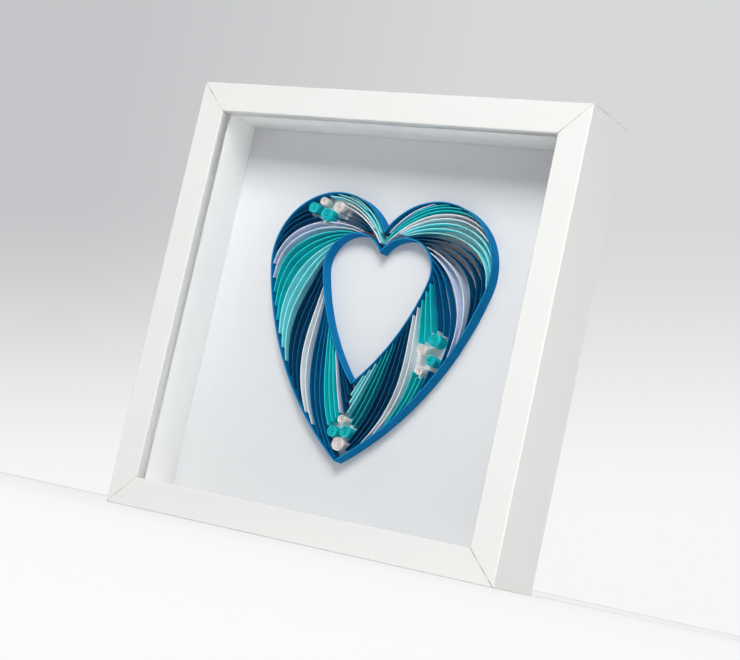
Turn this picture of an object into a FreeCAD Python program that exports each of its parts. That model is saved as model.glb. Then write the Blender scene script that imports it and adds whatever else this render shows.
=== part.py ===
"""Box frame with a quilled paper heart behind its pane.

The frame stands on its bottom rail. X runs along the bottom rail, Z is up, and the pane faces -Y.
The origin is at the middle of the footprint, on the surface that the frame stands on. Millimetres.

From front to back: four mitred rails with a lip, the pane, four spacer boards, the backing card that
carries the paper work, the back board, and the bent tabs that hold the stack in the rebate.
The paper work is a heart-shaped band: two edge strips bent to the outlines, flowing strips glued on
edge between them, and tight coils.
"""

import FreeCAD, Part
import Sketcher
import math
import os

V = FreeCAD.Vector

# Driving dimensions, in millimetres and degrees. Each becomes one cell of the sheet.
SIZES = {
    # frame and the stack that it holds
    "frame_width": 250.0,
    "frame_height": 250.0,
    "frame_depth": 45.0,
    "face_width": 17.0,
    "lip_depth": 7.0,
    "wall_thick": 11.5,
    "edge_radius": 0.8,
    "pane_thick": 2.0,
    "stack_play": 0.5,
    "spacer_thick": 5.0,
    "card_thick": 1.8,
    "board_thick": 3.0,
    "rear_recess": 3.5,
    # steel parts at the back
    "nail_inset": 5.0,
    "nail_leg": 6.5,
    "nail_thick": 0.8,
    "nail_depth": 10.0,
    "tab_width": 10.0,
    "tab_bite": 6.0,
    "tab_reach": 8.0,
    "tab_thick": 0.5,
    "hanger_length": 46.0,
    "hanger_height": 9.0,
    "hanger_foot": 9.0,
    "hanger_ramp": 2.0,
    "hanger_lift": 1.4,
    "hanger_plate": 0.8,
    "hanger_drop": 20.0,
    "tooth_width": 2.2,
    "tooth_depth": 1.6,
    "tooth_count": 9,
    "rivet_shank": 1.2,
    "rivet_head": 2.6,
    "rivet_crown": 0.9,
    "rivet_play": 0.05,
    # outlines of the heart, measured from the middle of the frame
    "outer_lobe_radius": 37.5,
    "outer_lobe_offset": 33.0,
    "outer_lobe_rise": 35.0,
    "outer_tip_drop": 76.0,
    "inner_lobe_radius": 18.5,
    "inner_lobe_offset": 16.0,
    "inner_lobe_rise": 32.0,
    "inner_tip_drop": 33.0,
    "flank_angle": -14.0,
    # paper
    "edge_tall": 8.0,
    "edge_paper": 0.6,
    "strip_tall": 7.0,
    "strip_paper": 0.4,
    "strip_step": 6.6,
    "strip_sweep": 58.0,
    "strip_gap": 0.3,
    "strip_least": 9.0,
    "coil_tall": 7.5,
    "coil_paper": 0.4,
    "coil_pitch": 0.9,
    "coil_eye": 0.9,
    "large_coil_radius": 4.6,
    "medium_coil_radius": 4.0,
    "small_coil_radius": 3.3,
    "coil_gap": 0.25,
}

# Runs of strips of one colour, in the order in which they follow each other round the heart.
RIGHT_COLOURS = [
    ("navy", 3), ("grey", 1), ("turquoise", 3), ("white", 2), ("aqua", 3), ("navy", 3), ("grey", 2),
    ("blue", 3), ("turquoise", 3), ("white", 2), ("navy", 3), ("teal", 3), ("aqua", 3), ("blue", 9),
]
LEFT_COLOURS = [
    ("teal", 3), ("aqua", 3), ("white", 2), ("navy", 3), ("grey", 2), ("turquoise", 3), ("aqua", 3),
    ("navy", 3), ("white", 2), ("blue", 3), ("turquoise", 3), ("grey", 1), ("navy", 3), ("aqua", 9),
]

# Each cluster starts at a station of the band (0 at the cleft, 1 where lobe meets flank, 2 at the tip)
# and a share of its width. Each coil is then laid against the one before, in a direction in degrees.
COIL_CLUSTERS = [
    ("tip", "right", 1.999, 0.79, [("white", "large", 0), ("turquoise", "medium", 128),
                                   ("turquoise", "medium", 2), ("white", "small", 122)]),
    ("crest", "left", 0.44, 0.66, [("white", "medium", 0), ("turquoise", "large", 215),
                                   ("white", "small", 112), ("turquoise", "medium", 212)]),
    ("flank", "right", 1.30, 0.62, [("turquoise", "large", 0), ("white", "medium", 222),
                                    ("turquoise", "medium", 318), ("white", "small", 228)]),
]

POINTS_ON_LINE = 120
POINTS_ON_RIBBON = 9
POINTS_ON_TURN = 12
EASE = 0.35


class Size:
    """A length with its value and the expression that binds a property to the sheet."""

    def __init__(self, value, text):
        self.value = value
        self.text = text

    @staticmethod
    def of(other):
        return other if isinstance(other, Size) else Size(other, repr(other))

    def join(self, other, sign, value):
        return Size(value, f"({self.text} {sign} {Size.of(other).text})")

    def __add__(self, other):
        return self.join(other, "+", self.value + Size.of(other).value)

    def __sub__(self, other):
        return self.join(other, "-", self.value - Size.of(other).value)

    def __mul__(self, other):
        return self.join(other, "*", self.value * Size.of(other).value)

    def __truediv__(self, other):
        return self.join(other, "/", self.value / Size.of(other).value)

    def __neg__(self):
        return self * -1


def make_sheet(doc):
    """Writes the driving dimensions into the sheet and returns them as bound sizes."""
    sheet = doc.addObject("Spreadsheet::Sheet", "Sizes")
    for row, (name, value) in enumerate(SIZES.items(), 1):
        sheet.set(f"A{row}", name)
        sheet.set(f"B{row}", str(value))
        sheet.setAlias(f"B{row}", name)
    doc.recompute()
    return {name: Size(float(sheet.get(name)), f"Sizes.{name}") for name in SIZES}


def bind(item, prop, size):
    """Sets a property from a size and keeps it bound to the sheet."""
    item.setExpression(prop, Size.of(size).text)


def place(item, x=0.0, y=0.0, z=0.0, turn=0.0):
    """Puts an object at bound coordinates, turned about the Y axis."""
    item.Placement = FreeCAD.Placement(V(0, 0, 0), FreeCAD.Rotation(V(0, 1, 0), turn))
    for axis, size in (("x", x), ("y", y), ("z", z)):
        bind(item, f"Placement.Base.{axis}", size)


def new_body(doc, label):
    body = doc.addObject("PartDesign::Body", label)
    body.Label = label
    return body


def new_sketch(body, plane, rise=None):
    """A sketch on one of the body's own origin planes, lifted by a bound distance if one is given."""
    sketch = body.newObject("Sketcher::SketchObject", f"{body.Label}_sketch")
    base = next(f for f in body.Origin.OriginFeatures if f.Role == plane)
    sketch.AttachmentSupport = [(base, "")]
    sketch.MapMode = "FlatFace"
    if rise is not None:
        bind(sketch, "AttachmentOffset.Base.z", rise)
    return sketch


def hold_point(sketch, element, end, x, y):
    """Ties a sketch point to the origin by two bound distances."""
    for kind, axis, size in (("DistanceX", -2, Size.of(x)), ("DistanceY", -1, Size.of(y))):
        if size.value == 0:
            sketch.addConstraint(Sketcher.Constraint("PointOnObject", element, end, axis))
        else:
            index = sketch.addConstraint(Sketcher.Constraint(kind, -1, 1, element, end, size.value))
            sketch.setExpression(f"Constraints[{index}]", size.text)


def add_polygon(sketch, corners):
    """A closed outline whose corners are all held by bound distances."""
    points = [V(Size.of(x).value, Size.of(y).value, 0) for x, y in corners]
    first = sketch.GeometryCount
    for start, end in zip(points, points[1:] + points[:1]):
        sketch.addGeometry(Part.LineSegment(start, end), False)
    for i in range(len(points)):
        follower = first + (i + 1) % len(points)
        sketch.addConstraint(Sketcher.Constraint("Coincident", first + i, 2, follower, 1))
    for i, (x, y) in enumerate(corners):
        hold_point(sketch, first + i, 1, x, y)


def add_rectangle(sketch, x0, x1, y0, y1):
    add_polygon(sketch, [(x0, y0), (x1, y0), (x1, y1), (x0, y1)])


def add_circle(sketch, x, y, radius):
    centre = V(Size.of(x).value, Size.of(y).value, 0)
    index = sketch.addGeometry(Part.Circle(centre, V(0, 0, 1), Size.of(radius).value), False)
    hold_point(sketch, index, 3, x, y)
    row = sketch.addConstraint(Sketcher.Constraint("Radius", index, Size.of(radius).value))
    sketch.setExpression(f"Constraints[{row}]", Size.of(radius).text)


def pad(body, sketch, length):
    """A pad that grows equally to both sides of its sketch."""
    feature = body.newObject("PartDesign::Pad", f"{body.Label}_pad")
    feature.Profile = sketch
    feature.SideType = "Symmetric"
    bind(feature, "Length", length)
    return feature


def pocket(body, sketch, length=None):
    """A cut to both sides of its sketch, by a bound length or right through."""
    feature = body.newObject("PartDesign::Pocket", f"{body.Label}_pocket")
    feature.Profile = sketch
    feature.SideType = "Symmetric"
    if length is None:
        feature.Type = "ThroughAll"
    else:
        bind(feature, "Length", length)
    return feature


def long_edges(shape, places):
    """Names of the edges that run along X through any of the given (y, z) places."""
    found = []
    for i, edge in enumerate(shape.Edges, 1):
        ends = [v.Point for v in edge.Vertexes]
        if len(ends) == 2 and abs(ends[0].x - ends[1].x) > 10 * abs(ends[0].y - ends[1].y) + 1:
            if any(all(abs(p.y - y) + abs(p.z - z) < 0.01 for p in ends) for y, z in places):
                found.append(f"Edge{i}")
    return found


def make_rail(doc, label, s, length, at, turn):
    """A mitred rail: face and wall, the rebate behind the lip, rounded edges and the slots at the back."""
    body = new_body(doc, label)
    half, depth = length / 2, s["frame_depth"]
    face, wall = s["face_width"], s["wall_thick"]

    front = new_sketch(body, "XZ_Plane")
    add_polygon(front, [(-half, 0), (half, 0), (half - face, face), (-half + face, face)])
    pad(body, front, depth)

    rebate = new_sketch(body, "YZ_Plane")
    add_rectangle(rebate, s["lip_depth"] - depth / 2, depth, wall, face * 2)
    pocket(body, rebate)

    doc.recompute()
    cut = body.Tip
    edges = [(-depth.value / 2, 0), (-depth.value / 2, face.value), (depth.value / 2, 0)]
    rounding = body.newObject("PartDesign::Fillet", f"{label}_rounding")
    rounding.Base = (cut, long_edges(cut.Shape, edges))
    bind(rounding, "Radius", s["edge_radius"])

    nails = new_sketch(body, "XY_Plane", s["nail_inset"])
    apex = half - s["nail_inset"] + s["nail_thick"] / 2
    tip = half - s["nail_inset"] - s["nail_leg"]
    for x0, x1 in ((-apex, -tip), (tip, apex)):
        add_rectangle(nails, x0, x1, depth / 2 - s["nail_depth"], depth)
    pocket(body, nails, s["nail_thick"])

    tabs = new_sketch(body, "XY_Plane", wall - s["tab_bite"] / 2)
    seat = tab_seat(s)
    for middle in (-length / 4, length / 4):
        add_rectangle(tabs, middle - s["tab_width"] / 2, middle + s["tab_width"] / 2, seat,
                      seat + s["tab_thick"])
    pocket(body, tabs, s["tab_bite"])
    place(body, *at, turn=turn)
    return body


def tab_seat(s):
    """How far behind the middle of the frame's depth the back board ends and the tabs begin."""
    return s["frame_depth"] / 2 - s["rear_recess"]


def card_front(s):
    """How far behind the middle of the frame's depth the face of the backing card lies."""
    return tab_seat(s) - s["board_thick"] - s["card_thick"]


def pane_back(s):
    return s["lip_depth"] + s["pane_thick"] - s["frame_depth"] / 2


def make_rails(doc, s):
    wide, high = s["frame_width"], s["frame_height"]
    return [
        make_rail(doc, "rail_bottom", s, wide, (0, 0, 0), 0),
        make_rail(doc, "rail_top", s, wide, (0, 0, high), 180),
        make_rail(doc, "rail_left", s, high, (-wide / 2, 0, high / 2), 90),
        make_rail(doc, "rail_right", s, high, (wide / 2, 0, high / 2), -90),
    ]


def make_panel(doc, label, s, front, thick):
    """A rectangular panel that fills the rebate, with play all round, its front face at a given depth."""
    body = new_body(doc, label)
    inset = (s["wall_thick"] + s["stack_play"]) * 2
    half_wide = (s["frame_width"] - inset) / 2
    half_high = (s["frame_height"] - inset) / 2
    outline = new_sketch(body, "XZ_Plane")
    add_rectangle(outline, -half_wide, half_wide, -half_high, half_high)
    pad(body, outline, thick)
    place(body, 0, front + thick / 2, s["frame_height"] / 2)
    return body


def make_spacers(doc, s):
    """Four mitred boards that keep the pane off the card."""
    inset = s["wall_thick"] + s["stack_play"]
    wide, high = s["frame_width"] - inset * 2, s["frame_height"] - inset * 2
    thick = s["spacer_thick"]
    front, back = pane_back(s), card_front(s)
    made = []
    for label, length, x, z, turn in (
        ("spacer_bottom", wide, 0, inset, 0),
        ("spacer_top", wide, 0, s["frame_height"] - inset, 180),
        ("spacer_left", high, -wide / 2, s["frame_height"] / 2, 90),
        ("spacer_right", high, wide / 2, s["frame_height"] / 2, -90),
    ):
        body = new_body(doc, label)
        half = length / 2
        outline = new_sketch(body, "XZ_Plane")
        add_polygon(outline, [(-half, 0), (half, 0), (half - thick, thick), (-half + thick, thick)])
        pad(body, outline, back - front)
        place(body, x, (front + back) / 2, z, turn)
        made.append(body)
    return made


def group(doc, label, members):
    """Several like pieces that share one node."""
    compound = doc.addObject("Part::Compound", label)
    compound.Label = label
    compound.Links = members
    return compound


def make_corner_nails(doc, s):
    """V-shaped steel nails, pressed in from behind across each mitre."""
    wide, high, inset = s["frame_width"], s["frame_height"], s["nail_inset"]
    low, mid, far = inset - s["nail_thick"] / 2, inset + s["nail_thick"] / 2, inset + s["nail_leg"]
    made = []
    for x, z, turn in ((-wide / 2, 0, 0), (wide / 2, 0, -90), (wide / 2, high, 180), (-wide / 2, high, 90)):
        nail = new_body(doc, f"nail_{turn % 360}")
        outline = new_sketch(nail, "XZ_Plane")
        add_polygon(outline, [(low, low), (far, low), (far, mid), (mid, mid), (mid, far), (low, far)])
        pad(nail, outline, s["nail_depth"])
        place(nail, x, s["frame_depth"] / 2 - s["nail_depth"] / 2, z, turn)
        made.append(nail)
    return group(doc, "corner_nails", made)


def make_board_tabs(doc, s):
    """Flat steel tabs, pushed into the rails and lying against the back board, two to a rail."""
    wide, high = s["frame_width"], s["frame_height"]
    base = s["wall_thick"] - s["tab_bite"]
    span = s["tab_bite"] + s["tab_reach"]
    made = []
    for x, z, across, turn in ((0, 0, wide, 0), (0, high, wide, 180), (-wide / 2, high / 2, high, 90),
                               (wide / 2, high / 2, high, -90)):
        pair = new_body(doc, f"tab_{turn % 360}")
        pair.AllowCompound = True
        flat = new_sketch(pair, "XZ_Plane")
        for middle in (-across / 4, across / 4):
            add_rectangle(flat, middle - s["tab_width"] / 2, middle + s["tab_width"] / 2, base, base + span)
        pad(pair, flat, s["tab_thick"])
        place(pair, x, tab_seat(s) + s["tab_thick"] / 2, z, turn)
        made.append(pair)
    return group(doc, "board_tabs", made)


def hanger_height_above_floor(s):
    return s["frame_height"] - s["wall_thick"] - s["hanger_drop"]


def rivet_places(s):
    reach = s["hanger_length"] / 2 - s["hanger_foot"] / 2
    return (-reach, reach)


def make_back_board(doc, s):
    board = make_panel(doc, "back_board", s, tab_seat(s) - s["board_thick"], s["board_thick"])
    holes = new_sketch(board, "XZ_Plane")
    height = hanger_height_above_floor(s) - s["frame_height"] / 2
    for x in rivet_places(s):
        add_circle(holes, x, height, s["rivet_shank"] + s["rivet_play"])
    pocket(board, holes)
    return board


def make_hanger(doc, s):
    """A stamped plate on two feet, with a row of teeth along its lower edge."""
    body = new_body(doc, "sawtooth_hanger")
    half, foot, ramp = s["hanger_length"] / 2, s["hanger_foot"], s["hanger_ramp"]
    lift, plate = s["hanger_lift"], s["hanger_plate"]
    half_high = s["hanger_height"] / 2
    under = [(-half, 0), (-half + foot, 0), (-half + foot + ramp, lift),
             (half - foot - ramp, lift), (half - foot, 0), (half, 0)]
    over = [(x, Size.of(y) + plate) for x, y in reversed(under)]
    profile = new_sketch(body, "XY_Plane")
    add_polygon(profile, under + over)
    pad(body, profile, s["hanger_height"])

    holes = new_sketch(body, "XZ_Plane")
    for x in rivet_places(s):
        add_circle(holes, x, 0, s["rivet_shank"] + s["rivet_play"])
    pocket(body, holes)

    notch = new_sketch(body, "XZ_Plane")
    width, count = s["tooth_width"], s["tooth_count"]
    first = -width * (count - 1) / 2
    add_polygon(notch, [(first - width / 2, -half_high), (first + width / 2, -half_high),
                        (first, s["tooth_depth"] - half_high)])
    cut = pocket(body, notch)
    teeth = body.newObject("PartDesign::LinearPattern", "teeth")
    teeth.Originals = [cut]
    teeth.Direction = (notch, ["H_Axis"])
    bind(teeth, "Length", width * (count - 1))
    bind(teeth, "Occurrences", count)
    body.Tip = teeth
    place(body, 0, tab_seat(s), hanger_height_above_floor(s))
    return body


def make_rivets(doc, s):
    """Domed rivets through the hanger's feet and the back board."""
    shank, head, plate = s["rivet_shank"], s["rivet_head"], s["hanger_plate"]
    crown = plate + s["rivet_crown"]
    made = []
    for i, x in enumerate(rivet_places(s)):
        body = new_body(doc, f"rivet_{i}")
        profile = new_sketch(body, "XY_Plane")
        add_polygon(profile, [(0, -s["board_thick"]), (shank, -s["board_thick"]), (shank, plate),
                              (head, plate), (head, plate + s["rivet_crown"] / 2),
                              (head * 0.6, crown), (0, crown)])
        turned = body.newObject("PartDesign::Revolution", f"rivet_{i}_turned")
        turned.Profile = profile
        turned.ReferenceAxis = (profile, ["V_Axis"])
        turned.Angle = 360
        place(body, x, tab_seat(s), hanger_height_above_floor(s))
        made.append(body)
    return group(doc, "hanger_rivets", made)


class HeartSide:
    """The right half of a heart outline: a lobe arc over the top, and a flank arc down to the tip."""

    def __init__(self, s, name):
        self.lobe = (s[f"{name}_lobe_offset"], s[f"{name}_lobe_rise"])
        self.lobe_radius = s[f"{name}_lobe_radius"]
        self.turn = math.radians(s["flank_angle"])
        across, up = math.cos(self.turn), math.sin(self.turn)
        to_tip = (-self.lobe[0], -s[f"{name}_tip_drop"] - self.lobe[1])
        along = to_tip[0] * across + to_tip[1] * up
        # The flank arc is tangent to the lobe arc and ends on the middle line at the tip.
        self.flank_radius = (
            (math.hypot(*to_tip) ** 2 + self.lobe_radius**2 - 2 * self.lobe_radius * along)
            / (2 * (self.lobe_radius - along))
        )
        back = self.flank_radius - self.lobe_radius
        self.flank = (self.lobe[0] - back * across, self.lobe[1] - back * up)

    def ends(self, grow):
        """Angles at the cleft and at the tip of the outline, moved outward by grow."""
        cleft = math.pi - math.acos(self.lobe[0] / (self.lobe_radius + grow))
        tip = -math.acos(-self.flank[0] / (self.flank_radius + grow))
        return cleft, tip

    def point(self, station, grow=0.0):
        """Station 0 is the cleft, 1 the end of the lobe and 2 the tip."""
        cleft, tip = self.ends(grow)
        if station <= 1:
            centre, radius = self.lobe, self.lobe_radius + grow
            angle = cleft + (self.turn - cleft) * station
        else:
            centre, radius = self.flank, self.flank_radius + grow
            angle = self.turn + (tip - self.turn) * (station - 1)
        return centre[0] + radius * math.cos(angle), centre[1] + radius * math.sin(angle)

    def lengths(self):
        """Lengths of the lobe arc and the flank arc."""
        cleft, tip = self.ends(0.0)
        return self.lobe_radius * (cleft - self.turn), self.flank_radius * (self.turn - tip)

    def outline(self, grow):
        """The whole closed heart, moved outward by grow, as four arcs in the XZ plane."""
        stations = [0, 0.5, 1, 1.5, 2]
        right = [self.point(t, grow) for t in stations]
        left = [(-x, z) for x, z in reversed(right)]
        arcs = [(right[0], right[1], right[2]), (right[2], right[3], right[4]),
                (left[0], left[1], left[2]), (left[2], left[3], left[4])]
        return Part.Wire([Part.Arc(*(V(x, 0, z) for x, z in arc)).toShape() for arc in arcs])


class Band:
    """The heart-shaped band between the inner and the outer outline."""

    def __init__(self, s):
        self.inner, self.outer = HeartSide(s, "inner"), HeartSide(s, "outer")
        lobes, flanks = zip(self.inner.lengths(), self.outer.lengths())
        self.lobe_length, self.flank_length = sum(lobes) / 2, sum(flanks) / 2
        self.length = self.lobe_length + self.flank_length

    def station(self, along):
        """The station at a distance along the middle of the band from the cleft."""
        if along <= self.lobe_length:
            return along / self.lobe_length
        return 1 + (along - self.lobe_length) / self.flank_length

    def point(self, station, share, margin=0.0):
        """A point of the right half, a share of the way from the inner outline to the outer one."""
        near, far = self.inner.point(station, margin), self.outer.point(station, -margin)
        return near[0] + (far[0] - near[0]) * share, near[1] + (far[1] - near[1]) * share


def set_shape(doc, label, shape, s):
    """A paper piece drawn about the middle of the heart, put on the face of the card."""
    feature = doc.addObject("Part::Feature", label)
    feature.Label = label
    feature.Shape = shape
    feature.Placement = FreeCAD.Placement(V(0, card_front(s).value, s["frame_height"].value / 2),
                                          FreeCAD.Rotation())
    return feature


def make_edge_strip(doc, label, side, s, v):
    """A paper strip bent along a whole outline and standing on the card."""
    half = v["edge_paper"] / 2
    face = Part.Face(side.outline(half)).cut(Part.Face(side.outline(-half)))
    return set_shape(doc, label, face.extrude(V(0, -v["edge_tall"], 0)), s)


def lay_coils(band, v):
    """Where each coil stands: name, x, z, radius, and the direction of its glued end."""
    laid = []
    for cluster, side, station, share, members in COIL_CLUSTERS:
        x, z = band.point(station, share)
        x = x if side == "right" else -x
        before = None
        for number, (colour, size, bearing) in enumerate(members, 1):
            radius = v[f"{size}_coil_radius"]
            if before is not None:
                reach = before + radius + v["coil_gap"]
                x += reach * math.cos(math.radians(bearing))
                z += reach * math.sin(math.radians(bearing))
            laid.append((f"coil_{cluster}_{number}_{colour}", x, z, radius, bearing + 180))
            before = radius
    return laid


def beside(points, shift):
    """The same line moved sideways by shift."""
    moved = []
    for i, (x, z) in enumerate(points):
        a, b = points[max(i - 1, 0)], points[min(i + 1, len(points) - 1)]
        run = math.dist(a, b)
        moved.append((x - shift * (b[1] - a[1]) / run, z + shift * (b[0] - a[0]) / run))
    return moved


def make_ribbon(points, paper, tall):
    """A paper strip on edge along a line."""
    ring = beside(points, paper / 2) + beside(points, -paper / 2)[::-1]
    outline = Part.makePolygon([V(x, 0, z) for x, z in ring + ring[:1]])
    return Part.Face(outline).extrude(V(0, -tall, 0))


def make_coil(doc, name, x, z, radius, glued_at, s, v):
    """A tight coil: one strip wound from a small eye out to its radius."""
    paper, pitch = v["coil_paper"], v["coil_pitch"]
    start, end = v["coil_eye"], radius - paper / 2
    turns = (end - start) / pitch
    steps = math.ceil(turns * POINTS_ON_TURN)
    line = []
    for i in range(steps + 1):
        angle = math.radians(glued_at) + 2 * math.pi * turns * (i / steps - 1)
        reach = start + (end - start) * i / steps
        line.append((x + reach * math.cos(angle), z + reach * math.sin(angle)))
    return set_shape(doc, name, make_ribbon(line, paper, v["coil_tall"]), s)


def flow_line(band, side, start, v):
    """A line that runs down along the band while it crosses it from the inner outline to the outer one."""
    margin = v["edge_paper"] / 2 + v["strip_paper"] / 2 + v["strip_gap"]
    line = []
    for i in range(POINTS_ON_LINE + 1):
        u = i / POINTS_ON_LINE
        along = start + v["strip_sweep"] * u
        if not 0 <= along <= band.length:
            line.append(None)
            continue
        share = u - EASE * math.sin(2 * math.pi * u) / (2 * math.pi)
        x, z = band.point(band.station(along), share, margin)
        line.append((x if side == "right" else -x, z))
    return line


def clear_runs(line, coils, laid, v):
    """The stretches of a line that clear the middle line, the coils and the strips laid before it."""
    half, gap = v["strip_paper"] / 2, v["strip_gap"]
    runs, run = [], []
    for point in line + [None]:
        free = (
            point is not None
            and abs(point[0]) > half * 2 + gap
            and all(math.dist(point, (x, z)) > radius + half * 2 + gap for _, x, z, radius, _ in coils)
            and all(math.dist(point, other) > half * 4 + gap for strip in laid for other in strip)
        )
        if free:
            run.append(point)
        elif run:
            runs.append(run)
            run = []
    return [r for r in runs if sum(map(math.dist, r, r[1:])) > v["strip_least"]]


def thin_out(run):
    """A few evenly spaced points of a run, its ends among them."""
    last = POINTS_ON_RIBBON - 1
    return [run[round(i * (len(run) - 1) / last)] for i in range(POINTS_ON_RIBBON)]


def make_strips(doc, band, coils, s, v):
    """All flowing strips, in nodes that each hold neighbours of one colour."""
    made = []
    for side, colours in (("right", RIGHT_COLOURS), ("left", LEFT_COLOURS)):
        laid, start = [], v["strip_step"] - v["strip_sweep"]
        for number, (colour, count) in enumerate(colours, 1):
            ribbons = []
            while count > 0 and start < band.length:
                runs = clear_runs(flow_line(band, side, start, v), coils, laid, v)
                laid += runs
                ribbons += [make_ribbon(thin_out(r), v["strip_paper"], v["strip_tall"]) for r in runs]
                start += v["strip_step"]
                count -= 1
            if ribbons:
                made.append(set_shape(doc, f"strips_{side}_{number:02d}_{colour}",
                                      Part.makeCompound(ribbons), s))
    return made


def check(doc, nodes):
    """Stops if any object failed or any node is empty or broken."""
    for item in doc.Objects:
        if {"Invalid", "Error"} & set(item.State):
            raise RuntimeError(f"{item.Label} failed: {item.State}")
    for node in nodes:
        if node.Shape.isNull() or not node.Shape.isValid() or not node.Shape.Solids:
            raise RuntimeError(f"{node.Label} has no valid solid")


def main():
    doc = FreeCAD.newDocument("quilled_heart_frame")
    s = make_sheet(doc)
    v = {name: size.value for name, size in s.items()}

    nodes = make_rails(doc, s)
    nodes.append(make_corner_nails(doc, s))
    nodes.append(make_panel(doc, "glass_pane", s, s["lip_depth"] - s["frame_depth"] / 2, s["pane_thick"]))
    nodes += make_spacers(doc, s)
    nodes.append(make_panel(doc, "backing_card", s, card_front(s), s["card_thick"]))
    nodes.append(make_back_board(doc, s))
    nodes.append(make_board_tabs(doc, s))
    nodes.append(make_hanger(doc, s))
    nodes.append(make_rivets(doc, s))

    band = Band(v)
    nodes.append(make_edge_strip(doc, "edge_strip_outer", band.outer, s, v))
    nodes.append(make_edge_strip(doc, "edge_strip_inner", band.inner, s, v))
    coils = lay_coils(band, v)
    nodes += [make_coil(doc, *coil, s, v) for coil in coils]
    nodes += make_strips(doc, band, coils, s, v)

    doc.recompute()
    check(doc, nodes)
    os.makedirs("parts", exist_ok=True)
    for node in nodes:
        node.Shape.exportStep(f"parts/{node.Label}.step")
    print(len(nodes), "nodes,", sum(len(n.Shape.Solids) for n in nodes), "solids")


main()
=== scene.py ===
import math
import random

import bmesh
import bpy
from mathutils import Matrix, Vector


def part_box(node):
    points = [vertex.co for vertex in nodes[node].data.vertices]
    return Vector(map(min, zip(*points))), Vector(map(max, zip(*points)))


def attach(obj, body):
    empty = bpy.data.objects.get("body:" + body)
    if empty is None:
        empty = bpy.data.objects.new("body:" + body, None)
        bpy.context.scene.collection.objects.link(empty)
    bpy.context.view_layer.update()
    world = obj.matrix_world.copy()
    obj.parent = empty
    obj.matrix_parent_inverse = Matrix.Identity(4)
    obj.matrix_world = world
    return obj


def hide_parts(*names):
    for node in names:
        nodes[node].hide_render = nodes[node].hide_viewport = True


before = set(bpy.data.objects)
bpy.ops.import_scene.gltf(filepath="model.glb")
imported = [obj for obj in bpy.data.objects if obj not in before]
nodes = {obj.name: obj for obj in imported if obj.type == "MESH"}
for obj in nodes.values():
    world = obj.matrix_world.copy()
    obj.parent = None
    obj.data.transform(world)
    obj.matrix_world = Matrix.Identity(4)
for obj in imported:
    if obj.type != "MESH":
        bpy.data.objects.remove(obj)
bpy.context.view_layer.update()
scene = bpy.context.scene
scene.view_settings.view_transform = "Standard"
random.seed(11)
mm = 0.001
frameMiddle = 0.125  # height of the frame's middle above the table
weldWithin = 0.002 * mm  # corners nearer to each other than this are one
levelWithin = 0.01 * mm  # corners nearer to a plane than this lie on it
print("frame loaded,", len(nodes), "nodes")


# camera: low, at the level of the table, turned as in the photo

cameraSettings = {
    "lens": 85.59,
    "place": (0.51756, -0.80509, 0.004),
    "turn": (97.206, -12.417, 30.741),
    "clipStart": 0.01,
}
bpy.ops.object.camera_add(
    location=cameraSettings["place"], rotation=[math.radians(a) for a in cameraSettings["turn"]]
)
scene.camera = bpy.context.object
scene.camera.data.lens = cameraSettings["lens"]
scene.camera.data.clip_start = cameraSettings["clipStart"]


# small helpers for picking and shaping

def deselectAll():
    if bpy.context.object and bpy.context.object.mode != "OBJECT":
        bpy.ops.object.mode_set(mode="OBJECT")
    bpy.ops.object.select_all(action="DESELECT")


def pickUp(piece):
    # makes one object the only selected and active one
    deselectAll()
    piece.select_set(True)
    bpy.context.view_layer.objects.active = piece


def applyModifier(piece, kind, **values):
    pickUp(piece)
    modifier = piece.modifiers.new(kind.title(), kind)
    for name, value in values.items():
        setattr(modifier, name, value)
    bpy.ops.object.modifier_apply(modifier=modifier.name)


def selectWhere(piece, edgeTest=None, faceTest=None):
    # selects edges or faces of the edited mesh by their place
    mesh = bmesh.from_edit_mesh(piece.data)
    for part in (*mesh.verts, *mesh.edges, *mesh.faces):
        part.select = False
    for edge in mesh.edges:
        if edgeTest and edgeTest(edge):
            edge.select = True
    for face in mesh.faces:
        if faceTest and faceTest(face):
            face.select = True
    mesh.select_flush_mode()
    bmesh.update_edit_mesh(piece.data)


def settle(piece, name, material, nodeName):
    # names a finished piece, gives it its finish, hangs it on the root and hides the CAD node it stands
    # for
    pickUp(piece)
    bpy.ops.object.transform_apply(location=True, rotation=True, scale=True)
    piece.name = piece.data.name = name
    piece.data.materials.clear()
    piece.data.materials.append(material)
    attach(piece, "root")
    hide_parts(nodeName)


# small helpers for materials

def newMaterial(name):
    material = bpy.data.materials.new(name)
    material.use_nodes = True
    tree = material.node_tree
    return material, tree, tree.nodes["Principled BSDF"]


def addNode(tree, kind, inputs=None, **settings):
    node = tree.nodes.new("ShaderNode" + kind)
    for name, value in settings.items():
        setattr(node, name, value)
    for name, value in (inputs or {}).items():
        if isinstance(value, bpy.types.NodeSocket):
            tree.links.new(value, node.inputs[name])
        else:
            node.inputs[name].default_value = value
    return node


def maths(tree, operation, first, second=0.0):
    return addNode(tree, "Math", {0: first, 1: second}, operation=operation).outputs[0]


def objectPlace(tree):
    return addNode(tree, "TexCoord").outputs["Object"]


def noise(tree, place, scale, detail=2.0, stretch=None, rough=0.5):
    if stretch:
        place = addNode(tree, "Mapping", {"Vector": place, "Scale": stretch}).outputs[0]
    inputs = {"Vector": place, "Scale": scale, "Detail": detail, "Roughness": rough}
    return addNode(tree, "TexNoise", inputs).outputs["Fac"]


def spread(tree, value, fromLow, fromHigh, toLow, toHigh):
    inputs = {
        "Value": value, "From Min": fromLow, "From Max": fromHigh, "To Min": toLow, "To Max": toHigh
    }
    return addNode(tree, "MapRange", inputs).outputs[0]


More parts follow.
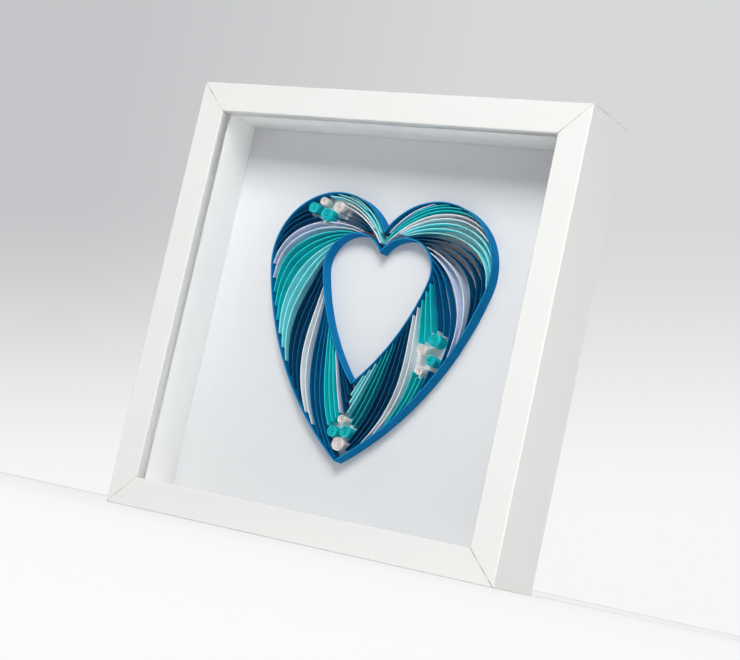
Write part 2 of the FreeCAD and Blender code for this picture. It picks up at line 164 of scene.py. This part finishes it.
def blendColours(tree, share, first, second):
    node = addNode(tree, "Mix", {0: share}, data_type="RGBA")
    for socket, colour in ((node.inputs[6], first), (node.inputs[7], second)):
        if isinstance(colour, bpy.types.NodeSocket):
            tree.links.new(colour, socket)
        else:
            socket.default_value = (*colour, 1.0)
    return node.outputs[2]


def bump(tree, height, depth, strength=1.0, below=None):
    inputs = {"Height": height, "Distance": depth, "Strength": strength}
    if below:
        inputs["Normal"] = below
    return addNode(tree, "Bump", inputs).outputs[0]


# finishes of the frame and what it holds

foilFinish = {
    "colour": (0.758, 0.76, 0.739),
    "warmer": (0.749, 0.747, 0.716),
    "seam": (0.36, 0.25, 0.14),
    "seamHalfWidth": 0.26 * mm,
    "seamRoughness": 0.4,
    "seamSunk": 3.0,
    "roughness": (0.34, 0.44),
    "specular": 0.45,
    "patchScale": 210.0,
    "cloudScale": 14.0,
    "sheenScale": 60.0,
    "pebbleScale": 2200.0,
    "pebbleDepth": 0.012 * mm,
    "waveScale": 45.0,
    "waveDepth": 0.12 * mm,
}


def makeFoil():
    # satin white foil; at the mitres the raw brown core shows as a hairline
    settings = foilFinish
    material, tree, shader = newMaterial("foil_white")
    place = objectPlace(tree)
    apart = addNode(tree, "SeparateXYZ", {0: place})
    across = maths(tree, "ABSOLUTE", apart.outputs["X"])
    up = maths(tree, "ABSOLUTE", maths(tree, "SUBTRACT", apart.outputs["Z"], frameMiddle))
    fromMitre = maths(tree, "ABSOLUTE", maths(tree, "SUBTRACT", across, up))
    width = settings["seamHalfWidth"]
    line = spread(tree, fromMitre, width * 0.5, width * 2.0, 1.0, 0.0)
    patchy = spread(tree, noise(tree, place, settings["patchScale"], 3.0), 0.38, 0.62, 0.25, 1.0)
    seam = maths(tree, "MULTIPLY", line, patchy)
    cloudy = noise(tree, place, settings["cloudScale"], 3.0)
    body = blendColours(tree, cloudy, settings["colour"], settings["warmer"])
    tree.links.new(blendColours(tree, seam, body, settings["seam"]), shader.inputs["Base Color"])
    low, high = settings["roughness"]
    sheen = spread(tree, noise(tree, place, settings["sheenScale"], 4.0), 0.3, 0.7, low, high)
    rawCore = maths(tree, "MULTIPLY", seam, settings["seamRoughness"])
    tree.links.new(maths(tree, "ADD", sheen, rawCore), shader.inputs["Roughness"])
    pebbles = noise(tree, place, settings["pebbleScale"], 2.0)
    groove = maths(tree, "MULTIPLY", seam, settings["seamSunk"])
    waves = bump(tree, noise(tree, place, settings["waveScale"], 2.0), settings["waveDepth"], 0.5)
    grooved = bump(tree, maths(tree, "SUBTRACT", pebbles, groove), settings["pebbleDepth"], 0.6, waves)
    tree.links.new(grooved, shader.inputs["Normal"])
    shader.inputs["Specular IOR Level"].default_value = settings["specular"]
    return material


glassFinish = {"tint": (0.985, 0.995, 0.99), "passing": (0.99, 0.995, 0.99), "index": 1.08}


def makeGlass():
    # clear pane, low in reflection, so that dark papers stay dark behind it; the light of the
    # lamps and the light that bounces off the card pass straight through it
    material, tree, shader = newMaterial("pane_glass")
    shader.inputs["Base Color"].default_value = (*glassFinish["tint"], 1)
    shader.inputs["Roughness"].default_value = 0.0
    shader.inputs["IOR"].default_value = glassFinish["index"]
    shader.inputs["Transmission Weight"].default_value = 1.0
    clear = addNode(tree, "BsdfTransparent", {"Color": (*glassFinish["passing"], 1)})
    rays = addNode(tree, "LightPath")
    passing = maths(tree, "MAXIMUM", rays.outputs["Is Shadow Ray"], rays.outputs["Is Diffuse Ray"])
    mixed = addNode(tree, "MixShader", {0: passing, 1: shader.outputs[0], 2: clear.outputs[0]})
    tree.links.new(mixed.outputs[0], tree.nodes["Material Output"].inputs["Surface"])
    return material


spacerFinish = {
    "colour": (0.88, 0.872, 0.866),
    "shade": (0.852, 0.847, 0.842),
    "roughness": 0.55,
    "specular": 0.4,
    "cloudScale": 9.0,
    "waveScale": 22.0,
    "waveStretch": (1.0, 2.6, 0.7),
    "waveDepth": 1.1 * mm,
    "fibreScale": 1500.0,
    "fibreDepth": 0.03 * mm,
}


def makeSpacerBoard():
    # matte board with faint long waves, as if it had bowed a little in its slot
    settings = spacerFinish
    material, tree, shader = newMaterial("spacer_board")
    place = objectPlace(tree)
    cloudy = noise(tree, place, settings["cloudScale"], 3.0)
    tree.links.new(blendColours(tree, cloudy, settings["colour"], settings["shade"]),
                   shader.inputs["Base Color"])
    long = noise(tree, place, settings["waveScale"], 1.0, settings["waveStretch"])
    waves = bump(tree, long, settings["waveDepth"], 0.6)
    fine = noise(tree, place, settings["fibreScale"], 3.0)
    tree.links.new(bump(tree, fine, settings["fibreDepth"], 0.5, waves), shader.inputs["Normal"])
    shader.inputs["Roughness"].default_value = settings["roughness"]
    shader.inputs["Specular IOR Level"].default_value = settings["specular"]
    return material


cardFinish = {
    "colour": (0.73, 0.73, 0.745),
    "shade": (0.71, 0.71, 0.73),
    "roughness": 0.82,
    "specular": 0.3,
    "cloudScale": 18.0,
    "toothScale": 900.0,
    "toothDepth": 0.05 * mm,
}


def makeCard():
    # matte card with a fine tooth
    settings = cardFinish
    material, tree, shader = newMaterial("card_pale")
    place = objectPlace(tree)
    cloudy = noise(tree, place, settings["cloudScale"], 4.0)
    tree.links.new(blendColours(tree, cloudy, settings["colour"], settings["shade"]),
                   shader.inputs["Base Color"])
    tooth = noise(tree, place, settings["toothScale"], 4.0, rough=0.65)
    tree.links.new(bump(tree, tooth, settings["toothDepth"], 0.7), shader.inputs["Normal"])
    shader.inputs["Roughness"].default_value = settings["roughness"]
    shader.inputs["Specular IOR Level"].default_value = settings["specular"]
    return material


boardFinish = {
    "pale": (0.42, 0.28, 0.165),
    "dark": (0.24, 0.145, 0.08),
    "roughness": (0.62, 0.8),
    "fleckScale": 700.0,
    "fleckStretch": (1.0, 1.0, 0.45),
    "fleckDepth": 0.06 * mm,
    "cloudScale": 26.0,
    "cloudShare": 0.5,
}


def makeFibreBoard():
    # pressed wood fibre: short flecks, a few long ones, and a slight press sheen
    settings = boardFinish
    material, tree, shader = newMaterial("fibre_board")
    place = objectPlace(tree)
    flecks = noise(tree, place, settings["fleckScale"], 5.0, settings["fleckStretch"], 0.7)
    cloudy = noise(tree, place, settings["cloudScale"], 3.0)
    clouds = maths(tree, "MULTIPLY", cloudy, settings["cloudShare"])
    mixed = spread(tree, maths(tree, "ADD", flecks, clouds), 0.45, 1.05, 0.0, 1.0)
    tree.links.new(blendColours(tree, mixed, settings["dark"], settings["pale"]),
                   shader.inputs["Base Color"])
    tree.links.new(bump(tree, flecks, settings["fleckDepth"], 0.6), shader.inputs["Normal"])
    low, high = settings["roughness"]
    tree.links.new(spread(tree, flecks, 0.3, 0.7, low, high), shader.inputs["Roughness"])
    return material


steelFinish = {
    "hanger": {"name": "zinc_hanger", "colour": (0.47, 0.48, 0.50), "grain": (0.08, 1.0, 1.0)},
    "tabs": {"name": "zinc_tabs", "colour": (0.42, 0.43, 0.45), "grain": (1.0, 1.0, 0.1)},
    "roughness": (0.24, 0.42),
    "lineScale": 900.0,
    "lineDepth": 0.02 * mm,
    "stainScale": 120.0,
    "stainTone": 0.82,
}


def makeSteel(name, colour, grain):
    # zinc-plated steel with rolling lines
    material, tree, shader = newMaterial(name)
    place = objectPlace(tree)
    lines = noise(tree, place, steelFinish["lineScale"], 3.0, grain)
    stains = noise(tree, place, steelFinish["stainScale"], 3.0)
    stained = [c * steelFinish["stainTone"] for c in colour]
    tree.links.new(blendColours(tree, stains, colour, stained), shader.inputs["Base Color"])
    low, high = steelFinish["roughness"]
    tree.links.new(spread(tree, lines, 0.3, 0.7, low, high), shader.inputs["Roughness"])
    tree.links.new(bump(tree, lines, steelFinish["lineDepth"], 0.4), shader.inputs["Normal"])
    shader.inputs["Metallic"].default_value = 1.0
    return material


foil = makeFoil()
glass = makeGlass()
spacerBoard = makeSpacerBoard()
card = makeCard()
fibreBoard = makeFibreBoard()
hangerSteel = makeSteel(**steelFinish["hanger"])
tabSteel = makeSteel(**steelFinish["tabs"])
print("frame finishes made")


# paper finishes: matte sides, and a painted highlight, a paler copy of the paper's colour, on the cut
# edges that face the pane and the front lamps

# each paper: the colour of its sides, then the paler colour painted on its front-facing cut edges as a
# highlight
paperColours = {
    "cerulean": ((0.000, 0.167, 0.405), (0.005, 0.225, 0.49)),
    "navy": ((0.000, 0.066, 0.170), (0.001, 0.105, 0.252)),
    "blue": ((0.000, 0.126, 0.316), (0.002, 0.187, 0.421)),
    "teal": ((0.001, 0.292, 0.363), (0.007, 0.421, 0.491)),
    "turquoise": ((0.004, 0.562, 0.620), (0.023, 0.702, 0.749)),
    "aqua": ((0.234, 0.854, 0.913), (0.372, 0.896, 0.940)),
    "grey": ((0.608, 0.702, 0.877), (0.730, 0.807, 0.940)),
    "white": ((0.800, 0.875, 0.940), (0.869, 0.910, 0.940)),
    "blush": ((0.940, 0.847, 0.825), (0.940, 0.889, 0.869)),
}


paperFinish = {
    "roughness": 0.78,
    "specular": 0.06,
    "fibreScale": 1300.0,
    "fibreDepth": 0.03 * mm,
    "cloudScale": 70.0,
    "tones": (0.86, 1.1),
    "highlightFacing": (-0.6, -0.95),
}


def makePaper(name):
    settings = paperFinish
    side, paintedHighlight = paperColours[name]
    material, tree, shader = newMaterial("paper_" + name)
    place = objectPlace(tree)
    fibres = noise(tree, place, settings["fibreScale"], 4.0, rough=0.7)
    cloudy = noise(tree, place, settings["cloudScale"], 3.0)
    tone = spread(tree, maths(tree, "ADD", fibres, cloudy), 0.7, 1.3, 0.0, 1.0)
    darker, paler = settings["tones"]
    body = blendColours(tree, tone, [c * darker for c in side], [min(1, c * paler) for c in side])
    # painted highlight: faces whose normal points to the front (-Y), towards the lamps, take the paler
    # colour
    facing = addNode(tree, "SeparateXYZ", {0: addNode(tree, "NewGeometry").outputs["Normal"]})
    begins, full = settings["highlightFacing"]
    highlightShare = spread(tree, facing.outputs["Y"], begins, full, 0.0, 1.0)
    tree.links.new(blendColours(tree, highlightShare, body, paintedHighlight), shader.inputs["Base Color"])
    tree.links.new(bump(tree, fibres, settings["fibreDepth"], 0.6), shader.inputs["Normal"])
    shader.inputs["Roughness"].default_value = settings["roughness"]
    shader.inputs["Specular IOR Level"].default_value = settings["specular"]
    return material


papers = {name: makePaper(name) for name in paperColours}
print("paper finishes made")


# frame rails: the CAD rails with their mitre edges eased to a hairline groove

railSettings = {"easing": 0.13 * mm, "smoothUnder": 28}
flatUnder = 0.3  # faces that meet at less than this many degrees are one


def easedCopy(nodeName):
    # a copy of a CAD node's mesh, its loose triangles merged back into whole faces
    deselectAll()
    piece = nodes[nodeName].copy()
    piece.data = nodes[nodeName].data.copy()
    for key in list(piece.keys()):
        del piece[key]
    piece.parent = None
    bpy.context.collection.objects.link(piece)
    pickUp(piece)
    bpy.ops.object.mode_set(mode="EDIT")
    bpy.ops.mesh.select_all(action="SELECT")
    bpy.ops.mesh.remove_doubles(threshold=weldWithin)
    bpy.ops.mesh.dissolve_limited(angle_limit=math.radians(flatUnder))
    return piece


def onMitre(point):
    return abs(abs(point.x) - abs(point.z - frameMiddle)) < levelWithin


def mitreEdge(edge):
    # true where one of an edge's two faces lies on the mitre
    if not all(onMitre(v.co) for v in edge.verts):
        return False
    return sum(all(onMitre(v.co) for v in face.verts) for face in edge.link_faces) == 1


for side in ("bottom", "top", "left", "right"):
    rail = easedCopy("rail_" + side)
    selectWhere(rail, edgeTest=mitreEdge)
    bpy.ops.mesh.bevel(offset=railSettings["easing"], segments=1, affect="EDGES")
    bpy.ops.mesh.select_all(action="SELECT")
    bpy.ops.mesh.quads_convert_to_tris()
    bpy.ops.object.mode_set(mode="OBJECT")
    bpy.ops.object.shade_smooth_by_angle(angle=math.radians(railSettings["smoothUnder"]))
    applyModifier(rail, "WEIGHTED_NORMAL", keep_sharp=True)
    settle(rail, "frame_side_" + side, foil, "rail_" + side)
print("rails eased")


# flat and bent parts: the CAD shapes with their sharp edges broken

easingSettings = {"segments": 2, "sharpOver": 30, "smoothUnder": 50}
easedParts = {
    "glass_pane": ("pane", glass, "pane_glass", 0.15 * mm),
    "backing_card": ("pale_card", card, "card", 0.1 * mm),
    "back_board": ("fibre_back", fibreBoard, "fibre_board", 0.25 * mm),
    "spacer_bottom": ("inner_wall_bottom", spacerBoard, "spacer_board", 0.25 * mm),
    "spacer_top": ("inner_wall_top", spacerBoard, "spacer_board", 0.25 * mm),
    "spacer_left": ("inner_wall_left", spacerBoard, "spacer_board", 0.25 * mm),
    "spacer_right": ("inner_wall_right", spacerBoard, "spacer_board", 0.25 * mm),
    "corner_nails": ("v_nails", tabSteel, "nail_steel", 0.06 * mm),
    "board_tabs": ("bent_tabs", tabSteel, "tab_steel", 0.08 * mm),
    "sawtooth_hanger": ("toothed_hanger", hangerSteel, "hanger_steel", 0.12 * mm),
}
for nodeName, (name, material, slotName, easing) in easedParts.items():
    part = easedCopy(nodeName)
    bpy.ops.object.mode_set(mode="OBJECT")
    applyModifier(part, "BEVEL", width=easing, segments=easingSettings["segments"], limit_method="ANGLE",
                  angle_limit=math.radians(easingSettings["sharpOver"]))
    bpy.ops.object.shade_smooth_by_angle(angle=math.radians(easingSettings["smoothUnder"]))
    settle(part, name, material, nodeName)
print("flat parts eased")


# rivets: turned heads with a low dome

rivetSettings = {"reach": 2.6 * mm, "crown": 0.9 * mm, "dome": 0.55 * mm, "apart": 37 * mm,
                 "around": 40, "domeSteps": 5, "flatInset": 1.2 * mm, "flatRaised": 0.12 * mm,
                 "smoothUnder": 50}


def makeRivets():
    low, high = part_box("hanger_rivets")
    heads = []
    for end in (-1, 1):
        deselectAll()
        middle = ((low.x + high.x) / 2 + end * rivetSettings["apart"] / 2,
                  high.y - rivetSettings["crown"] / 2, (low.z + high.z) / 2)
        bpy.ops.mesh.primitive_cylinder_add(vertices=rivetSettings["around"],
                                            radius=rivetSettings["reach"],
                                            depth=rivetSettings["crown"], location=middle,
                                            rotation=(-math.pi / 2, 0, 0))
        head = bpy.context.object
        bpy.ops.object.transform_apply(location=True, rotation=True, scale=True)
        bpy.ops.object.mode_set(mode="EDIT")
        rim = high.y - levelWithin
        selectWhere(head, edgeTest=lambda edge: all(v.co.y > rim for v in edge.verts))
        bpy.ops.mesh.bevel(offset=rivetSettings["dome"], segments=rivetSettings["domeSteps"],
                           affect="EDGES")
        selectWhere(head, faceTest=lambda face: all(v.co.y > rim for v in face.verts))
        bpy.ops.mesh.inset(thickness=rivetSettings["flatInset"])
        bpy.ops.transform.translate(value=(0, rivetSettings["flatRaised"], 0))
        bpy.ops.mesh.select_all(action="SELECT")
        bpy.ops.mesh.normals_make_consistent(inside=False)
        bpy.ops.object.mode_set(mode="OBJECT")
        heads.append(head)
    pickUp(heads[0])
    heads[1].select_set(True)
    bpy.ops.object.join()
    bpy.ops.object.shade_smooth_by_angle(angle=math.radians(rivetSettings["smoothUnder"]))
    settle(heads[0], "rivet_heads", hangerSteel, "hanger_rivets")


makeRivets()
print("rivets turned")


# paper strips: smooth ribbons bent through the places that the CAD strips mark

ribbonSettings = {"smoothness": 5, "paper": 0.34 * mm, "uneven": 0.12 * mm, "smoothUnder": 40}


def ringsOfNode(nodeName):
    # the outlines of a node's solids where they face the pane, each as an ordered ring of points
    mesh = bmesh.new()
    mesh.from_mesh(nodes[nodeName].data)
    bmesh.ops.remove_doubles(mesh, verts=mesh.verts, dist=weldWithin)
    front = min(v.co.y for v in mesh.verts)
    follows = {}
    for edge in mesh.edges:
        level = all(v.co.y < front + levelWithin for v in edge.verts)
        if level and any(abs(face.normal.y) < 0.5 for face in edge.link_faces):
            a, b = edge.verts
            follows.setdefault(a.index, []).append(b.index)
            follows.setdefault(b.index, []).append(a.index)
    mesh.verts.ensure_lookup_table()
    places = {index: mesh.verts[index].co.copy() for index in follows}
    mesh.free()
    rings = []
    while follows:
        start = next(iter(follows))
        ring, here, before = [start], start, None
        while True:
            ahead = [n for n in follows[here] if n != before]
            before, here = here, ahead[0]
            if here == start:
                break
            ring.append(here)
        for index in ring:
            del follows[index]
        rings.append([places[index] for index in ring])
    return rings


def middleLine(ring):
    # halves a ring at its two short ends and gives the line midway between its sides
    count = len(ring) // 2
    gaps = [(ring[i] - ring[i - 1]).length for i in range(len(ring))]
    turn = min(range(count), key=lambda i: gaps[i] + gaps[(i + count) % len(ring)])
    ring = ring[turn:] + ring[:turn]
    return [(a + b) / 2 for a, b in zip(ring[:count], reversed(ring[count:]))]


def bendRibbons(lines, footing, paper, smoothness):
    # bends one curve per strip, draws it down onto the card and gives it the paper's thickness
    deselectAll()
    bpy.ops.curve.primitive_bezier_curve_add()
    curve = bpy.context.object
    curve.data.splines.clear()
    curve.data.resolution_u = smoothness
    for line in lines:
        spline = curve.data.splines.new("BEZIER")
        spline.bezier_points.add(len(line) - 1)
        for knot, place in zip(spline.bezier_points, line):
            knot.co = place
            knot.handle_left_type = knot.handle_right_type = "AUTO"
    bpy.ops.object.convert(target="MESH")
    sheet = bpy.context.object
    bpy.ops.object.mode_set(mode="EDIT")
    bpy.ops.mesh.select_all(action="SELECT")
    bpy.ops.mesh.extrude_edges_move(TRANSFORM_OT_translate={"value": (0, mm, 0)})
    bpy.ops.transform.resize(value=(1, 0, 1), center_override=(0, footing, 0))
    bpy.ops.object.mode_set(mode="OBJECT")
    applyModifier(sheet, "SOLIDIFY", thickness=paper, offset=0.0, use_even_offset=True)
    pickUp(sheet)
    bpy.ops.object.mode_set(mode="EDIT")
    bpy.ops.mesh.select_all(action="SELECT")
    bpy.ops.mesh.normals_make_consistent(inside=False)
    bpy.ops.object.mode_set(mode="OBJECT")
    bpy.ops.object.shade_smooth_by_angle(angle=math.radians(ribbonSettings["smoothUnder"]))
    return sheet


for name in sorted(nodes):
    if not name.startswith("strips_"):
        continue
    side, number, colour = name.split("_")[1:]
    low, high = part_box(name)
    lines = []
    for ring in ringsOfNode(name):
        sink = [random.uniform(0, ribbonSettings["uneven"]) for _ in range(3)]
        line = middleLine(ring)
        for i, place in enumerate(line):
            along = 2 * i / (len(line) - 1)
            first = min(int(along), 1)
            place.y = low.y + sink[first] + (sink[first + 1] - sink[first]) * (along - first)
        lines.append(line)
    ribbon = bendRibbons(lines, high.y, ribbonSettings["paper"], ribbonSettings["smoothness"])
    settle(ribbon, f"flowing_{side}_{number}_{colour}", papers[colour], name)
print("flowing strips bent")


# edge strips: the two bent outlines of the heart

edgeStripSettings = {"smoothUnder": 30}
for place in ("outer", "inner"):
    outline = easedCopy("edge_strip_" + place)
    bpy.ops.object.mode_set(mode="OBJECT")
    bpy.ops.object.shade_smooth_by_angle(angle=math.radians(edgeStripSettings["smoothUnder"]))
    settle(outline, "heart_edge_" + place, papers["cerulean"], "edge_strip_" + place)
print("edge strips bent")


# coils: each wound from one strip, its end glued back to the turn below

coilSettings = {"pitch": 0.93 * mm, "eye": 0.6 * mm, "paper": 0.34 * mm, "perTurn": 14,
                "gluedShare": 0.3, "gluedPitch": 1.06, "wobble": 0.025 * mm, "ripple": 0.04 * mm,
                "dish": (0.05 * mm, 0.35 * mm), "hookReach": 0.4, "smoothness": 3}


def windCoil(centreX, centreZ, radius, front, endsAt):
    # the line of a strip wound out from its eye
    settings = coilSettings
    outside = radius - settings["paper"] / 2
    turns = (outside - settings["eye"]) / settings["pitch"]
    steps = round(turns * settings["perTurn"])
    dish = random.uniform(*settings["dish"])
    line = []
    for i in range(steps + 1):
        turn = turns * i / steps
        reach = settings["eye"] + settings["pitch"] * turn
        last = max(0.0, 1 - (turns - turn) / settings["gluedShare"])
        drawnIn = settings["pitch"] - settings["paper"] * settings["gluedPitch"]
        reach -= drawnIn * last * last * (3 - 2 * last)
        reach += random.uniform(-settings["wobble"], settings["wobble"]) * (1 - last)
        angle = endsAt + 2 * math.pi * (turn - turns)
        sunk = dish * (1 - reach / radius) ** 2 + random.uniform(0, settings["ripple"])
        line.append(Vector((centreX + reach * math.cos(angle), front + sunk,
                            centreZ + reach * math.sin(angle))))
    hook = line[0].copy()
    hook.x = centreX + (hook.x - centreX) * settings["hookReach"]
    hook.z = centreZ + (hook.z - centreZ) * settings["hookReach"]
    return [hook] + line


for name in sorted(nodes):
    if not name.startswith("coil_"):
        continue
    cluster, number, colour = name.split("_")[1:]
    low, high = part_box(name)
    radius = min(high.x - low.x, high.z - low.z) / 2
    line = windCoil((low.x + high.x) / 2, (low.z + high.z) / 2, radius, low.y,
                    random.uniform(0, 2 * math.pi))
    coil = bendRibbons([line], high.y, coilSettings["paper"], coilSettings["smoothness"])
    finish = "blush" if colour == "white" else colour
    settle(coil, f"wound_{cluster}_{number}_{colour}", papers[finish], name)
print("coils wound")


# stage and light

stageSettings = {"reach": 4.0, "cloth": (0.84, 0.84, 0.85), "nearWhite": (0.94, 0.945, 0.955),
                 "paleShare": 0.7, "roughness": 0.9, "specular": 0.1}


def paleWhereSeen(tree, lit, pale, share):
    # what lights the object stays as it is; the camera, reflections and sight through the pane
    # see the pale studio, but light that has bounced off anything matte doesn't
    rays = addNode(tree, "LightPath")
    seen = maths(tree, "MAXIMUM", rays.outputs["Is Camera Ray"], rays.outputs["Is Glossy Ray"])
    seen = maths(tree, "MAXIMUM", seen, rays.outputs["Is Transmission Ray"])
    straight = maths(tree, "LESS_THAN", rays.outputs["Diffuse Depth"], 0.5)
    share = maths(tree, "MULTIPLY", maths(tree, "MULTIPLY", seen, straight), share)
    return addNode(tree, "MixShader", {0: share, 1: lit, 2: pale}).outputs[0]


def makeFloor():
    deselectAll()
    bpy.ops.mesh.primitive_plane_add(size=stageSettings["reach"] * 2)
    floor = bpy.context.object
    floor.name = "studio_floor"
    material, tree, shader = newMaterial("studio_cloth")
    shader.inputs["Base Color"].default_value = (*stageSettings["cloth"], 1)
    shader.inputs["Roughness"].default_value = stageSettings["roughness"]
    shader.inputs["Specular IOR Level"].default_value = stageSettings["specular"]
    glow = addNode(tree, "Emission", {"Color": (*stageSettings["nearWhite"], 1), "Strength": 1.0})
    shown = paleWhereSeen(tree, shader.outputs[0], glow.outputs[0], stageSettings["paleShare"])
    tree.links.new(shown, tree.nodes["Material Output"].inputs["Surface"])
    floor.data.materials.append(material)


airSettings = {"light": (0.93, 0.95, 1.0), "strength": 0.23, "low": (0.925, 0.93, 0.94),
               "high": (0.555, 0.56, 0.575), "highAside": (0.68, 0.685, 0.70), "fade": (0.02, 0.205),
               "brighterSide": (0.86, 0.51, 0), "tilt": 0.2, "aside": (-0.2, 0.0)}


def makeAir():
    # even light all round; seen directly it is a backdrop with painted shade: it pales towards the
    # floor, darkens upwards and is lighter towards one side, as light falls on a studio sweep
    world = bpy.data.worlds.new("studio_air")
    scene.world = world
    world.use_nodes = True
    tree = world.node_tree
    even = tree.nodes["Background"]
    even.inputs["Color"].default_value = (*airSettings["light"], 1)
    even.inputs["Strength"].default_value = airSettings["strength"]
    direction = addNode(tree, "TexCoord").outputs["Generated"]
    up = addNode(tree, "SeparateXYZ", {0: direction}).outputs["Z"]
    towards = addNode(tree, "VectorMath", {0: direction, 1: airSettings["brighterSide"]},
                      operation="DOT_PRODUCT").outputs["Value"]
    fadeFrom, fadeTo = airSettings["fade"]
    height = maths(tree, "SUBTRACT", up, maths(tree, "MULTIPLY", towards, airSettings["tilt"]))
    fade = addNode(tree, "MapRange", {"Value": height, "From Min": fadeFrom, "From Max": fadeTo},
                   interpolation_type="SMOOTHSTEP")
    aside = spread(tree, towards, *airSettings["aside"], 0.0, 1.0)
    upper = blendColours(tree, aside, airSettings["high"], airSettings["highAside"])
    shown = blendColours(tree, fade.outputs[0], airSettings["low"], upper)
    backdrop = addNode(tree, "Background", {"Color": shown, "Strength": 1.0})
    tree.links.new(paleWhereSeen(tree, even.outputs[0], backdrop.outputs[0], 1.0),
                   tree.nodes["World Output"].inputs["Surface"])


lampSettings = {
    "key": {"place": (0.52, -2.0, 1.8), "aim": (0, 0, frameMiddle), "size": 1.15, "watts": 59},
    "right": {"place": (1.1, -0.9, 0.12), "aim": (0, 0, frameMiddle), "size": 0.7, "watts": 0.78},
    "side": {"place": (0.66, -0.16, 0.05), "aim": (0.125, 0, 0.05), "size": 0.2, "watts": 1.33},
    "rear": {"place": (-0.8, 1.8, 1.3), "aim": (0, 0, frameMiddle), "size": 1.2, "watts": 16},
}


def hangLamps():
    for name, lamp in lampSettings.items():
        towards = Vector(lamp["aim"]) - Vector(lamp["place"])
        bpy.ops.object.light_add(type="AREA", location=lamp["place"],
                                 rotation=towards.to_track_quat("-Z", "Y").to_euler())
        bpy.context.object.name = name
        bpy.context.object.data.energy = lamp["watts"]
        bpy.context.object.data.size = lamp["size"]


makeFloor()
makeAir()
hangLamps()
print("stage and lamps set")
